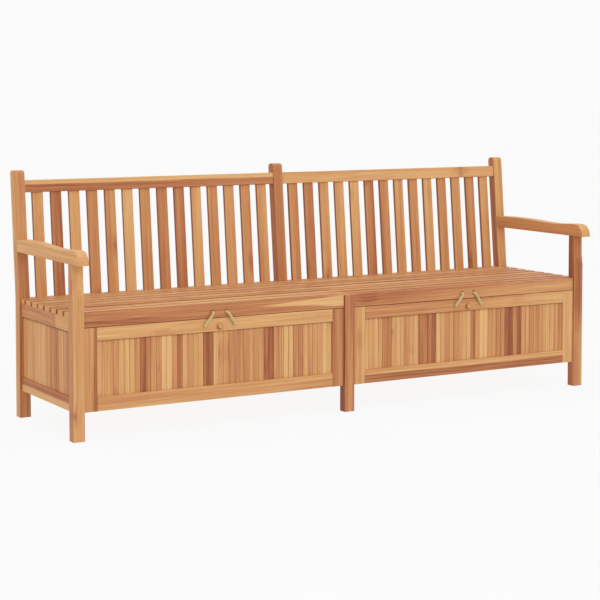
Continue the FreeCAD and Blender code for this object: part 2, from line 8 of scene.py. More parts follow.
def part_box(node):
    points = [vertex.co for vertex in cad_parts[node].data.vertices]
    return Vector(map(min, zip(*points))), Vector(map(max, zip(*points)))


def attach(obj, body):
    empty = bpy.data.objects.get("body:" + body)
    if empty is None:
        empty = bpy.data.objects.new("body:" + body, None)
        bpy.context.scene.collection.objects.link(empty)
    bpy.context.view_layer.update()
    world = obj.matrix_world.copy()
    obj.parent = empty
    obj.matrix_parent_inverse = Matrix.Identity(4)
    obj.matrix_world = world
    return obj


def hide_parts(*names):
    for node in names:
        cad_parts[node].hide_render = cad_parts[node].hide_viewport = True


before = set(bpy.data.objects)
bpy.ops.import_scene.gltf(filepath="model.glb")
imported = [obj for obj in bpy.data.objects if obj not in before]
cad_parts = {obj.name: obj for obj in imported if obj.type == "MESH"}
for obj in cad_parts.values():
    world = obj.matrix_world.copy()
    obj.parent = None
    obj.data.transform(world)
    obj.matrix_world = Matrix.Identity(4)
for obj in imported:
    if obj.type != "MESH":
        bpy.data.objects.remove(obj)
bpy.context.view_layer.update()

# --- Sizes shared with the joinery ---------------------------------------------------------------------
CENTRE_Y = 0.268748        # from the front posts' faces to the middle of the bench
BAY_MID = 0.540            # middle of each bay
RAKE_Z = 0.440             # where the back starts to lean
RAKE_SLOPE = 0.0957        # how far it leans back for each metre of height
PANEL_X0 = 0.071           # first board of a front panel, from the middle of the bench
FRONT_PITCH = 0.938 / 46   # half of each panel board, as a groove runs down its middle
SIDE_PITCH = 0.465 / 22
REAR_PITCH = 1.038 / 50
REAR_X0 = 0.021            # where a bay's back and rear boards start, from the middle of the bench
PANEL_JOINT = 0.0022       # width of the dark line in a groove, dust and painted shade
BACK_SLAT_WIDTH = 0.042
BACK_SLAT_PITCH = 0.072
SEAT_PITCH = 0.060
SEAT_ROW_Y = 0.044 - CENTRE_Y  # half a gap in front of the first seat slat
SIDE_BOARD_Y = 0.036 - CENTRE_Y
FLOOR_BOARD_Y = 0.037 - CENTRE_Y
FLOOR_PITCH = 0.0982
FRONT_RAIL_UNDER = 0.3405  # lower edges of the panels' top rails
SIDE_RAIL_UNDER = 0.3670

ROPE_R = 0.0055
ROPE_HALF_SPACING = 0.0275
ROPE_Z = 0.410
STRAND_R = 0.00255         # three strands of this radius lie within the rope's
STRAND_TURN = 0.030        # length of one whole turn of the twist
STUB_STEPS = 24            # points along each strand of the stub in a hole
KNOT_LOOP_R = 0.0052       # of the loops that make a crown knot
KNOT_LOOP_STEPS = 32
FRAYED = 0.010             # length at the cut end where the strands loosen
LOOSE_FIBRES = 26
# Route of a tail: out along X from its hole, y from the front posts' faces, height.
ROPE_ROUTE = (
    (0.0, 0.016, ROPE_Z),
    (0.0, 0.0015, ROPE_Z),
    (0.0055, -0.0065, 0.401),
    (0.0175, -0.0025, 0.3835),
    (0.0345, 0.001, 0.361),
)

# --- Camera --------------------------------------------------------------------------------------------
def place_camera():
    data = bpy.data.cameras.new("bench_camera")
    data.sensor_width = 36.0
    data.lens = 101.94
    data.shift_y = -0.20
    camera = bpy.data.objects.new("bench_camera", data)
    bpy.context.scene.collection.objects.link(camera)
    turn, tip = 0.5267, -0.0573
    look = Vector((math.sin(turn) * math.cos(tip), math.cos(turn) * math.cos(tip), math.sin(tip)))
    camera.location = (-3.3013, -5.5787, 1.2198)
    camera.rotation_euler = look.to_track_quat("-Z", "Y").to_euler()
    bpy.context.scene.camera = camera


# --- Node helpers --------------------------------------------------------------------------------------
def node(tree, kind, inputs=None, **settings):
    """Add a node; each input is a socket to link from, or a value."""
    made = tree.nodes.new(kind)
    for name, value in settings.items():
        setattr(made, name, value)
    for key, value in (inputs or {}).items():
        if isinstance(value, bpy.types.NodeSocket):
            tree.links.new(value, made.inputs[key])
        else:
            made.inputs[key].default_value = value
    return made


def sums(tree, operation, *values, clamp=False):
    inputs = dict(enumerate(values))
    return node(tree, "ShaderNodeMath", inputs, operation=operation, use_clamp=clamp).outputs[0]


def vectors(tree, operation, *values):
    inputs = dict(enumerate(values))
    return node(tree, "ShaderNodeVectorMath", inputs, operation=operation).outputs[0]


def noise(tree, place, stretch, detail=2.0, roughness=0.55):
    """Noise whose features are 1/stretch metres long on each axis."""
    at = vectors(tree, "MULTIPLY", place, stretch)
    inputs = {"Vector": at, "Scale": 1.0, "Detail": detail, "Roughness": roughness}
    return node(tree, "ShaderNodeTexNoise", inputs).outputs["Fac"]


def ramp(tree, value, stops, interpolation="LINEAR"):
    made = node(tree, "ShaderNodeValToRGB", {"Fac": value})
    band = made.color_ramp
    band.interpolation = interpolation
    while len(band.elements) < len(stops):
        band.elements.new(0.5)
    for element, (at, colour) in zip(band.elements, stops):
        element.position = at
        element.color = (*colour, 1.0)
    return made.outputs["Color"]


def grey(value):
    return (value, value, value)


def linear(r, g, b):
    """A colour given in everyday 0-255 numbers."""
    return tuple(((c / 255 + 0.055) / 1.055) ** 2.4 for c in (r, g, b))


def opaque(r, g, b):
    """Such a colour with full opacity, as colour sockets want it."""
    return (*linear(r, g, b), 1.0)


def blend_colour(tree, amount, a, b, mode="MIX"):
    made = node(tree, "ShaderNodeMix", data_type="RGBA", blend_type=mode)
    for key, value in ((0, amount), (6, a), (7, b)):
        if isinstance(value, bpy.types.NodeSocket):
            tree.links.new(value, made.inputs[key])
        else:
            made.inputs[key].default_value = value
    return made.outputs[2]


def new_group(name, inputs, outputs):
    """An empty shader node group with float inputs unless a socket type is given."""
    tree = bpy.data.node_groups.new(name, "ShaderNodeTree")
    for label, kind, value in inputs:
        socket = tree.interface.new_socket(label, in_out="INPUT", socket_type=f"NodeSocket{kind}")
        if value is not None:
            socket.default_value = value
    for label, kind in outputs:
        tree.interface.new_socket(label, in_out="OUTPUT", socket_type=f"NodeSocket{kind}")
    return tree, node(tree, "NodeGroupInput").outputs, node(tree, "NodeGroupOutput").inputs


def use_group(tree, group, inputs):
    made = node(tree, "ShaderNodeGroup", node_tree=group)
    for key, value in inputs.items():
        if isinstance(value, bpy.types.NodeSocket):
            tree.links.new(value, made.inputs[key])
        else:
            made.inputs[key].default_value = value
    return made.outputs


# --- Shared effects ------------------------------------------------------------------------------------
TOOTH_WIDTH = 0.008        # of the fingers where two lengths of wood are joined
WEDGE_HALF = 0.019         # half the thickness of a wedge of sapwood at its root
WEDGE_WANDER = 0.012
WEDGE_SOFT = 0.003
RING_PITCH = 0.0085        # between growth rings
KNOT_CELL = (9.0, 9.0, 3.2)  # cells to a metre, each of which may hold a knot
KNOTLESS_SHARE = 0.52      # of the cells
EYE_REACH = 0.0068
SWIRL_REACH = 0.030
SURFACE = [("Color", "Color"), ("Roughness", "Float"), ("Height", "Float")]


def make_lean_group():
    """Straightens the leaning back, so that its grain follows each slat."""
    tree, given, out = new_group("lean", [("Position", "Vector", None)], [("Position", "Vector")])
    parts = node(tree, "ShaderNodeSeparateXYZ", {0: given["Position"]}).outputs
    above = sums(tree, "MAXIMUM", sums(tree, "SUBTRACT", parts[2], RAKE_Z), 0.0)
    y = sums(tree, "SUBTRACT", parts[1], sums(tree, "MULTIPLY", above, RAKE_SLOPE))
    upright = node(tree, "ShaderNodeCombineXYZ", {0: parts[0], 1: y, 2: parts[2]}).outputs[0]
    tree.links.new(upright, out["Position"])
    return tree


def make_row_group():
    """Numbers the boards of a row and marks the joints between them."""
    inputs = [("Across", "Float", 0.0), ("Start", "Float", 0.0), ("Pitch", "Float", 0.04),
              ("Count", "Float", 10.0), ("Joint", "Float", 0.0016)]
    tree, given, out = new_group("board_row", inputs, [(n, "Float") for n in ("Number", "Share", "Joint")])
    steps = sums(tree, "DIVIDE", sums(tree, "SUBTRACT", given["Across"], given["Start"]), given["Pitch"])
    number = sums(tree, "FLOOR", steps)
    share = sums(tree, "DIVIDE", sums(tree, "ADD", number, 0.5), given["Count"])
    metres = sums(tree, "MULTIPLY", sums(tree, "PINGPONG", steps, 0.5), given["Pitch"])
    near = sums(tree, "SUBTRACT", 1.0, sums(tree, "DIVIDE", metres, given["Joint"]), clamp=True)
    for name, value in (("Number", number), ("Share", share), ("Joint", near)):
        tree.links.new(value, out[name])
    return tree


def make_band_group():
    """A soft, wandering edge, 0 below it and 1 above, for sapwood and for painted shade; Teeth make it a
    finger joint.
    """
    inputs = [("Place", "Vector", None), ("Across", "Float", 0.0), ("Edge", "Float", 0.0),
              ("Soft", "Float", 0.004), ("Wander", "Float", 0.006), ("Teeth", "Float", 0.0)]
    tree, given, out = new_group("sap_and_shade_band", inputs, [("Above", "Float")])
    wave = sums(tree, "SUBTRACT", noise(tree, given["Place"], (9.0, 9.0, 2.2), 3.0), 0.5)
    across = sums(tree, "MULTIPLY_ADD", wave, given["Wander"], given["Across"])
    width = node(tree, "ShaderNodeSeparateXYZ", {0: given["Place"]}).outputs[1]
    finger = sums(tree, "PINGPONG", width, TOOTH_WIDTH / 2)
    across = sums(tree, "MULTIPLY_ADD", finger, sums(tree, "DIVIDE", given["Teeth"], TOOTH_WIDTH / 2), across)
    above = sums(tree, "DIVIDE", sums(tree, "SUBTRACT", across, given["Edge"]), given["Soft"])
    tree.links.new(sums(tree, "ADD", above, 0.5, clamp=True), out["Above"])
    return tree


def make_wedge_group():
    """A streak of sapwood in a rail, centred on Height, that starts at Tip and is thickest at Root."""
    inputs = [("Place", "Vector", None), ("X", "Float", 0.0), ("Z", "Float", 0.0), ("Tip", "Float", -0.4),
              ("Root", "Float", 0.0), ("Height", "Float", 0.43)]
    tree, given, out = new_group("sap_wedge", inputs, [("Inside", "Float")])
    length = sums(tree, "SUBTRACT", given["Root"], given["Tip"])
    along = sums(tree, "DIVIDE", sums(tree, "SUBTRACT", given["X"], given["Tip"]), length, clamp=True)
    wave = sums(tree, "SUBTRACT", noise(tree, given["Place"], (60.0, 60.0, 7.0), 3.0), 0.5)
    off = sums(tree, "ABSOLUTE", sums(tree, "SUBTRACT", given["Z"], given["Height"]))
    half = sums(tree, "MULTIPLY_ADD", wave, WEDGE_WANDER, sums(tree, "MULTIPLY", along, WEDGE_HALF))
    inside = sums(tree, "DIVIDE", sums(tree, "SUBTRACT", half, off), WEDGE_SOFT)
    inside = sums(tree, "ADD", inside, 0.5, clamp=True)
    past_tip = sums(tree, "MULTIPLY", along, 8.0, clamp=True)
    tree.links.new(sums(tree, "MULTIPLY", inside, past_tip), out["Inside"])
    return tree


def make_grain_group():
    """Teak cut along the grain. Place has the grain along its third axis; Board picks another plank."""
    inputs = [("Place", "Vector", None), ("Board", "Float", 0.0), ("Tone", "Float", 0.4),
              ("Figure", "Float", 1.0), ("End", "Float", 0.0), ("Knots", "Float", 0.0),
              ("DustAndShade", "Float", 0.0)]
    tree, given, out = new_group("teak_grain", inputs, SURFACE)
    pick = node(tree, "ShaderNodeTexWhiteNoise", {"W": given["Board"]}, noise_dimensions="1D")
    plank = pick.outputs["Color"]
    place = node(tree, "ShaderNodeVectorMath", {0: plank, 1: (9.0, 7.0, 11.0), 2: given["Place"]},
                 operation="MULTIPLY_ADD").outputs[0]

    # Knots: one in some of the cells, a little longer than wide.
    cell_at = vectors(tree, "MULTIPLY", place, KNOT_CELL)
    cells = node(tree, "ShaderNodeTexVoronoi", {"Vector": cell_at, "Scale": 1.0})
    heart = vectors(tree, "DIVIDE", cells.outputs["Position"], KNOT_CELL)
    away = vectors(tree, "MULTIPLY", vectors(tree, "SUBTRACT", heart, place), (1.0, 0.15, 0.5))
    distance = node(tree, "ShaderNodeVectorMath", {0: away}, operation="LENGTH").outputs["Value"]
    chance = node(tree, "ShaderNodeSeparateXYZ", {0: cells.outputs["Color"]}).outputs[0]
    knotty = sums(tree, "MULTIPLY", sums(tree, "GREATER_THAN", chance, KNOTLESS_SHARE), given["Knots"])
    in_eye = sums(tree, "SUBTRACT", 1.25, sums(tree, "DIVIDE", distance, EYE_REACH), clamp=True)
    in_swirl = sums(tree, "SUBTRACT", 1.0, sums(tree, "DIVIDE", distance, SWIRL_REACH), clamp=True)
    eye = sums(tree, "MULTIPLY", in_eye, knotty)
    swirl = sums(tree, "MULTIPLY", in_swirl, knotty)

    # Growth rings pushed aside by the knots, then streaks from broad to fine.
    bend = node(tree, "ShaderNodeCombineXYZ", {0: sums(tree, "MULTIPLY", swirl, 0.014)}).outputs[0]
    bent = vectors(tree, "ADD", place, bend)
    parts = node(tree, "ShaderNodeSeparateXYZ", {0: bent}).outputs
    drift = noise(tree, bent, (6.0, 6.0, 0.9), 2.0)
    slanted = sums(tree, "MULTIPLY_ADD", parts[1], 0.6, parts[0])
    ring_at = sums(tree, "ADD", slanted, sums(tree, "MULTIPLY", drift, 0.07))
    rings = sums(tree, "SINE", sums(tree, "MULTIPLY", ring_at, 2 * math.pi / RING_PITCH))
    ring_lines = sums(tree, "POWER", sums(tree, "MULTIPLY_ADD", rings, 0.5, 0.5), 3.0)
    broad = noise(tree, bent, (36.0, 36.0, 0.95), 3.0, 0.6)
    middle = noise(tree, bent, (140.0, 140.0, 3.0), 2.0)
    fine = noise(tree, bent, (520.0, 520.0, 10.0), 2.0, 0.6)
    pores = noise(tree, place, (1700.0, 1700.0, 42.0), 1.0)
    open_pores = sums(tree, "MULTIPLY", sums(tree, "SUBTRACT", pores, 0.56, clamp=True), 5.0, clamp=True)

    streaks = sums(tree, "MULTIPLY", sums(tree, "SUBTRACT", broad, 0.5), 1.9)
    streaks = sums(tree, "MULTIPLY_ADD", sums(tree, "SUBTRACT", middle, 0.5), 1.05, streaks)
    streaks = sums(tree, "MULTIPLY_ADD", sums(tree, "SUBTRACT", fine, 0.5), 0.75, streaks)
    streaks = sums(tree, "MULTIPLY_ADD", sums(tree, "SUBTRACT", ring_lines, 0.3), 0.16, streaks)
    tone = sums(tree, "MULTIPLY_ADD", streaks, given["Figure"], given["Tone"])
    tone = sums(tree, "MULTIPLY_ADD", swirl, 0.42, tone)
    ends = sums(tree, "MULTIPLY_ADD", noise(tree, place, (260.0, 260.0, 260.0), 3.0), 0.35, 0.14)
    tone = sums(tree, "ADD", tone, sums(tree, "MULTIPLY", sums(tree, "SUBTRACT", ends, tone), given["End"]))

    wood = ramp(tree, tone, [
        (0.00, linear(231, 185, 127)),
        (0.22, linear(221, 169, 112)),
        (0.45, linear(209, 150, 98)),
        (0.68, linear(193, 128, 85)),
        (0.88, linear(176, 108, 71)),
        (1.00, linear(152, 89, 58)),
    ])
    wood = blend_colour(tree, sums(tree, "MULTIPLY", open_pores, 0.16), wood, opaque(120, 66, 40))
    wood = blend_colour(tree, sums(tree, "MULTIPLY", eye, 0.8, clamp=True), wood, opaque(112, 58, 34))
    # Dust and painted shade in the grooves, painted shade under the rails.
    wood = blend_colour(tree, given["DustAndShade"], wood, opaque(128, 76, 46))
    tree.links.new(wood, out["Color"])
    rough = sums(tree, "MULTIPLY_ADD", fine, 0.16, 0.42)
    tree.links.new(sums(tree, "MULTIPLY_ADD", given["End"], 0.18, rough), out["Roughness"])
    height = sums(tree, "MULTIPLY_ADD", open_pores, -0.8, sums(tree, "MULTIPLY", fine, 0.8))
    tree.links.new(height, out["Height"])
    return tree


def make_tarnish_group():
    """Brushed brass with duller, browner patches."""
    inputs = [("Place", "Vector", None), ("Age", "Float", 0.4)]
    tree, given, out = new_group("brass_tarnish", inputs, SURFACE)
    patches = noise(tree, given["Place"], (90.0, 90.0, 90.0), 4.0, 0.65)
    spots = sums(tree, "SUBTRACT", patches, 0.42, clamp=True)
    dull = sums(tree, "MULTIPLY", spots, sums(tree, "MULTIPLY", given["Age"], 6.0), clamp=True)
    colour = blend_colour(tree, dull, opaque(206, 172, 104), opaque(150, 112, 66))
    brushed = noise(tree, given["Place"], (60.0, 2400.0, 2400.0), 1.0)
    tree.links.new(colour, out["Color"])
    rough = sums(tree, "MULTIPLY_ADD", dull, 0.25, sums(tree, "MULTIPLY_ADD", brushed, 0.12, 0.24))
    tree.links.new(rough, out["Roughness"])
    tree.links.new(brushed, out["Height"])
    return tree


LEAN = make_lean_group()
BOARD_ROW = make_row_group()
SAP_AND_SHADE_BAND = make_band_group()
SAP_WEDGE = make_wedge_group()
TEAK_GRAIN = make_grain_group()
BRASS_TARNISH = make_tarnish_group()


# --- Teak ----------------------------------------------------------------------------------------------
AXES = {"x": 0, "y": 1, "z": 2}
JOINT_DUST_AND_SHADE = 0.24
RAIL_SHADE = 0.55
RAIL_SHADE_REACH = 0.006
MOST_STOPS = 30            # that one ramp is given


def start_material(name):
    material = bpy.data.materials.new(name)
    material.use_nodes = True
    tree = material.node_tree
    tree.nodes.clear()
    shader = node(tree, "ShaderNodeBsdfPrincipled")
    output = node(tree, "ShaderNodeOutputMaterial")
    tree.links.new(shader.outputs[0], output.inputs["Surface"])
    return material, tree, shader


def teak(name, grain, tone, row=None, band=None, lean=False, figure=0.58, knots=0.5, edge=0.0, plank=1.0,
         faces=None, teeth=0.0, wedge=None, under=None):
    """A teak finish.

    grain is the axis the wood runs along.  row = (axis, start, pitch, [tone of each board], joint width).
    band = (axis, edge, softness, tone above) changes the tone past a wandering line; teeth fingers it.
    edge = extra depth of tone on the narrow sides of the boards: darker edge grain and painted shade from the
    neighbouring boards.  plank picks another piece of wood.
    faces = (axis, extra tone) on the sides facing that axis: partly their own darker wood, partly painted
    shade for how the light falls on them; a negative tone paints light.
    wedge = (tip, root, height, tone) is a streak of sapwood that widens along X, centred on a height.
    under = height of a rail's edge; the boards get painted shade just below it, where the rail shades them.
    """
    material, tree, shader = start_material(name)
    coords = node(tree, "ShaderNodeTexCoord").outputs
    position = coords["Object"]
    if lean:
        position = use_group(tree, LEAN, {"Position": position})["Position"]
    parts = node(tree, "ShaderNodeSeparateXYZ", {0: position}).outputs
    facing = node(tree, "ShaderNodeSeparateXYZ", {0: vectors(tree, "ABSOLUTE", coords["Normal"])}).outputs
    along = AXES[grain]
    across, deep = [i for i in (0, 1, 2) if i != along]
    place = node(tree, "ShaderNodeCombineXYZ", {0: parts[across], 1: parts[deep], 2: parts[along]}).outputs[0]

    board, dust_and_shade = plank, 0.0
    if row:
        axis, start, pitch, tones, joint = row
        inputs = {"Across": parts[AXES[axis]], "Start": start, "Pitch": pitch, "Count": float(len(tones)),
                  "Joint": joint}
        boards = use_group(tree, BOARD_ROW, inputs)
        tone = board_tones(tree, boards["Share"], tones)
        board = sums(tree, "ADD", boards["Number"], plank)
        # Dark line in each joint: dust and painted shade in the groove.
        if joint > 0.0:
            dust_and_shade = sums(tree, "MULTIPLY", boards["Joint"], JOINT_DUST_AND_SHADE)
    if band:
        axis, level, soft, above = band
        inputs = {"Place": place, "Across": parts[AXES[axis]], "Edge": level, "Soft": soft, "Teeth": teeth}
        mask = use_group(tree, SAP_AND_SHADE_BAND, inputs)["Above"]
        gain = sums(tree, "MULTIPLY", mask, sums(tree, "SUBTRACT", above, tone))
        tone = sums(tree, "ADD", tone, gain)
    if wedge:
        tip, root, height, pale = wedge
        inputs = {"Place": place, "X": parts[0], "Z": parts[2], "Tip": tip, "Root": root, "Height": height}
        mask = use_group(tree, SAP_WEDGE, inputs)["Inside"]
        tone = sums(tree, "MULTIPLY_ADD", mask, sums(tree, "SUBTRACT", pale, tone), tone)
    # Painted shade on the sides facing the axis, on top of their own tone; a negative tone paints light.
    if faces:
        axis, extra = faces
        turned = sums(tree, "GREATER_THAN", facing[AXES[axis]], 0.7)
        tone = sums(tree, "MULTIPLY_ADD", turned, extra, tone)
    # Painted shade on the boards just below a rail's edge.
    if under:
        below = sums(tree, "DIVIDE", sums(tree, "SUBTRACT", under, parts[2]), RAIL_SHADE_REACH)
        close = sums(tree, "SUBTRACT", 1.0, below, clamp=True)
        dust_and_shade = sums(tree, "MULTIPLY_ADD", close, RAIL_SHADE, dust_and_shade, clamp=True)
    # Painted shade on the boards' narrow sides, where the neighbouring boards shade them, along with their
    # darker edge grain.
    if edge:
        sideways = sums(tree, "SUBTRACT", facing[AXES[row[0]]], 0.6, clamp=True)
        tone = sums(tree, "ADD", tone, sums(tree, "MULTIPLY", sideways, 2.5 * edge))
    cut_end = sums(tree, "GREATER_THAN", facing[along], 0.8)
    inputs = {"Place": place, "Board": board, "Tone": tone, "Figure": figure, "End": cut_end, "Knots": knots,
              "DustAndShade": dust_and_shade}
    wood = use_group(tree, TEAK_GRAIN, inputs)
    tree.links.new(wood["Color"], shader.inputs["Base Color"])
    tree.links.new(wood["Roughness"], shader.inputs["Roughness"])
    shader.inputs["Specular IOR Level"].default_value = 0.22
    bump = node(tree, "ShaderNodeBump", {"Height": wood["Height"], "Strength": 0.35, "Distance": 0.0004})
    tree.links.new(bump.outputs[0], shader.inputs["Normal"])
    return material


def board_tones(tree, share, tones):
    """The tone of the board at this share of the row; a long row is split over two ramps."""
    if len(tones) <= MOST_STOPS:
        return ramp(tree, share, [(i / len(tones), grey(t)) for i, t in enumerate(tones)], "CONSTANT")
    half = len(tones) // 2
    first = board_tones(tree, sums(tree, "MULTIPLY", share, 2.0), tones[:half])
    second = board_tones(tree, sums(tree, "MULTIPLY_ADD", share, 2.0, -1.0), tones[half:])
    return blend_colour(tree, sums(tree, "GREATER_THAN", share, 0.5), first, second)


def brass(name, age):
    material, tree, shader = start_material(name)
    place = node(tree, "ShaderNodeTexCoord").outputs["Object"]
    metal = use_group(tree, BRASS_TARNISH, {"Place": place, "Age": age})
    tree.links.new(metal["Color"], shader.inputs["Base Color"])
    tree.links.new(metal["Roughness"], shader.inputs["Roughness"])
    shader.inputs["Metallic"].default_value = 1.0
    bump = node(tree, "ShaderNodeBump", {"Height": metal["Height"], "Strength": 0.2, "Distance": 0.0002})
    tree.links.new(bump.outputs[0], shader.inputs["Normal"])
    return material


def rope_fibre(name):
    """Pale hemp-like fibre; the strands' own map runs along and round each of them."""
    material, tree, shader = start_material(name)
    lay = node(tree, "ShaderNodeUVMap", uv_map="lay").outputs[0]
    hairs = noise(tree, lay, (90.0, 34.0, 1.0), 3.0, 0.65)
    patches = noise(tree, lay, (60.0, 1.0, 1.0), 2.0)
    shade = sums(tree, "MULTIPLY_ADD", patches, 0.5, sums(tree, "MULTIPLY", hairs, 0.6))
    colour = ramp(tree, shade, [
        (0.25, linear(162, 138, 88)),
        (0.50, linear(203, 183, 126)),
        (0.75, linear(226, 209, 158)),
    ])
    tree.links.new(colour, shader.inputs["Base Color"])
    tree.links.new(sums(tree, "MULTIPLY_ADD", hairs, 0.15, 0.72), shader.inputs["Roughness"])
    shader.inputs["Specular IOR Level"].default_value = 0.2
    shader.inputs["Sheen Weight"].default_value = 0.3
    bump = node(tree, "ShaderNodeBump", {"Height": hairs, "Strength": 0.6, "Distance": 0.0004})
    tree.links.new(bump.outputs[0], shader.inputs["Normal"])
    return material


# --- Rope ----------------------------------------------------------------------------------------------
def smooth_line(name, points):
    """Points read along one NURBS line through a rope's route."""
    curve = bpy.data.curves.new(name, "CURVE")
    curve.dimensions = "3D"
    curve.resolution_u = 24
    spline = curve.splines.new("NURBS")
    spline.points.add(len(points) - 1)
    for point, at in zip(spline.points, points):
        point.co = (*at, 1.0)
    spline.order_u = 3
    spline.use_endpoint_u = True
    holder = bpy.data.objects.new(name, curve)
    line = bpy.data.meshes.new_from_object(holder)
    path = [v.co.copy() for v in line.vertices]
    bpy.data.meshes.remove(line)
    bpy.data.objects.remove(holder)
    bpy.data.curves.remove(curve)
    return path


def evenly(path, step):
    """The same line with points a step apart, and the length before each."""
    lengths = [0.0]
    for a, b in zip(path, path[1:]):
        lengths.append(lengths[-1] + (b - a).length)
    count = max(2, round(lengths[-1] / step))
    out = []
    at = 0
    for i in range(count + 1):
        wanted = lengths[-1] * i / count
        while at < len(path) - 2 and lengths[at + 1] < wanted:
            at += 1
        share = (wanted - lengths[at]) / max(1e-9, lengths[at + 1] - lengths[at])
        out.append((wanted, path[at].lerp(path[at + 1], share)))
    return out


def frames_along(points):
    """(point, side, up) at each point, turning as little as possible."""
    out = []
    side = None
    for i, at in enumerate(points):
        ahead = points[min(i + 1, len(points) - 1)] - points[max(i - 1, 0)]
        ahead.normalize()
        if side is None:
            side = ahead.orthogonal().normalized()
        side = (side - ahead * side.dot(ahead)).normalized()
        out.append((at, side, ahead.cross(side)))
    return out


class Strands:
    """Collects round strands into one mesh with a map of metres along and turns round."""

    def __init__(self):
        self.corners = []
        self.faces = []
        self.lay = []

    def strand(self, centres, radii, sides=14, yarns=5, yarn_relief=0.08, yarn_turn=0.012):
        first = len(self.corners)
        length = 0.0
        before = centres[0]
        for (at, side, up), radius in zip(frames_along(centres), radii):
            length += (at - before).length
            before = at
            for k in range(sides):
                angle = 2 * math.pi * k / sides
                yarn_angle = yarns * angle + 2 * math.pi * length / yarn_turn
                ridge = 1 - yarn_relief * (0.5 - 0.5 * math.cos(yarn_angle))
                self.corners.append(at + (side * math.cos(angle) + up * math.sin(angle)) * radius * ridge)
                self.lay.append((length, k / sides))
        rings = len(centres)
        for i in range(rings - 1):
            for k in range(sides):
                a = first + i * sides + k
                b = first + i * sides + (k + 1) % sides
                self.faces.append((a, b, b + sides, a + sides))
        self.faces.append(tuple(first + k for k in reversed(range(sides))))
        self.faces.append(tuple(first + (rings - 1) * sides + k for k in range(sides)))

    def piece(self, name, material):
        mesh = bpy.data.meshes.new(name)
        mesh.from_pydata([tuple(c) for c in self.corners], [], self.faces)
        lay = mesh.uv_layers.new(name="lay")
        for loop in mesh.loops:
            lay.data[loop.index].uv = self.lay[loop.vertex_index]
        mesh.shade_smooth()
        mesh.materials.append(material)
        made = bpy.data.objects.new(name, mesh)
        bpy.context.scene.collection.objects.link(made)
        return made


def rope_tail(name, lid, hole_x, outward, material, seed):
    """Three strands twisted round the tail's line, loosening into loose fibres at the cut end."""
    route = [Vector((hole_x + outward * dx, y - CENTRE_Y, z)) for dx, y, z in ROPE_ROUTE]
    line = smooth_line(f"{name}_line", route)
    steps = evenly(line, 0.0012)
    whole = steps[-1][0]
    spread = random.Random(seed)
    around = ROPE_R - STRAND_R
    frames = frames_along([at for _, at in steps])
    strands = Strands()
    for k in range(3):
        centres, radii = [], []
        for (length, _), (at, side, up) in zip(steps, frames):
            angle = 2 * math.pi * (length / STRAND_TURN + k / 3) * outward
            loose = max(0.0, (length - (whole - FRAYED)) / FRAYED)
            reach = around * (1 + 0.30 * loose)
            centres.append(at + (side * math.cos(angle) + up * math.sin(angle)) * reach)
            radii.append(STRAND_R * (1 - 0.20 * loose ** 2))
        strands.strand(centres, radii, sides=20)
    end, side, up = frames[-1]
    ahead = (steps[-1][1] - steps[-6][1]).normalized()
    for _ in range(LOOSE_FIBRES):
        angle = spread.uniform(0, 2 * math.pi)
        out = (side * math.cos(angle) + up * math.sin(angle)) * spread.uniform(0.0008, 0.0042)
        root = end + out - ahead * 0.004
        tip = end + out * spread.uniform(1.0, 1.25) + ahead * spread.uniform(0.0005, 0.0035)
        middle = root.lerp(tip, 0.5) + side * spread.uniform(-0.0005, 0.0005)
        strands.strand([root, middle, tip], [0.00032, 0.00026, 0.0001], sides=5, yarn_relief=0.0)
    piece = strands.piece(f"{name}_tail", material)
    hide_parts(name)
    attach(piece, lid)


def rope_knots(word, material):
    """Crown knots behind the lid's front rail, each with the stub of rope that fills its hole."""
    strands = Strands()
    node_low, node_high = (Vector(corner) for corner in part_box(f"{word}_rope_knots"))
    ball_y = node_high.y - 0.008
    stub_y = ROPE_ROUTE[0][1] - CENTRE_Y
    mid_x = (node_low.x + node_high.x) / 2
    for outward in (-1, 1):
        x = mid_x + outward * ROPE_HALF_SPACING
        for k in range(3):
            centres = []
            for i in range(STUB_STEPS):
                along = i / (STUB_STEPS - 1)
                y = stub_y + (ball_y - 0.003 - stub_y) * along
                angle = 2 * math.pi * ((y - node_low.y) / STRAND_TURN + k / 3)
                reach = (ROPE_R - STRAND_R) * (1 - 0.35 * along ** 3)
                centres.append(Vector((x + reach * math.cos(angle), y, ROPE_Z + reach * math.sin(angle))))
            strands.strand(centres, [STRAND_R] * len(centres), sides=16)
            tilt = Matrix.Rotation(2 * math.pi * k / 3, 3, "Y") @ Matrix.Rotation(math.radians(38), 3, "X")
            loop = []
            for i in range(KNOT_LOOP_STEPS + 1):
                turn = 2 * math.pi * i / KNOT_LOOP_STEPS
                round_knot = tilt @ Vector((math.cos(turn), 0.0, math.sin(turn))) * KNOT_LOOP_R
                loop.append(Vector((x, ball_y, ROPE_Z)) + round_knot)
            strands.strand(loop, [0.0026] * len(loop), sides=16)
    piece = strands.piece(f"{word}_crown_knots", material)
    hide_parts(f"{word}_rope_knots")
    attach(piece, f"{word}_lid")


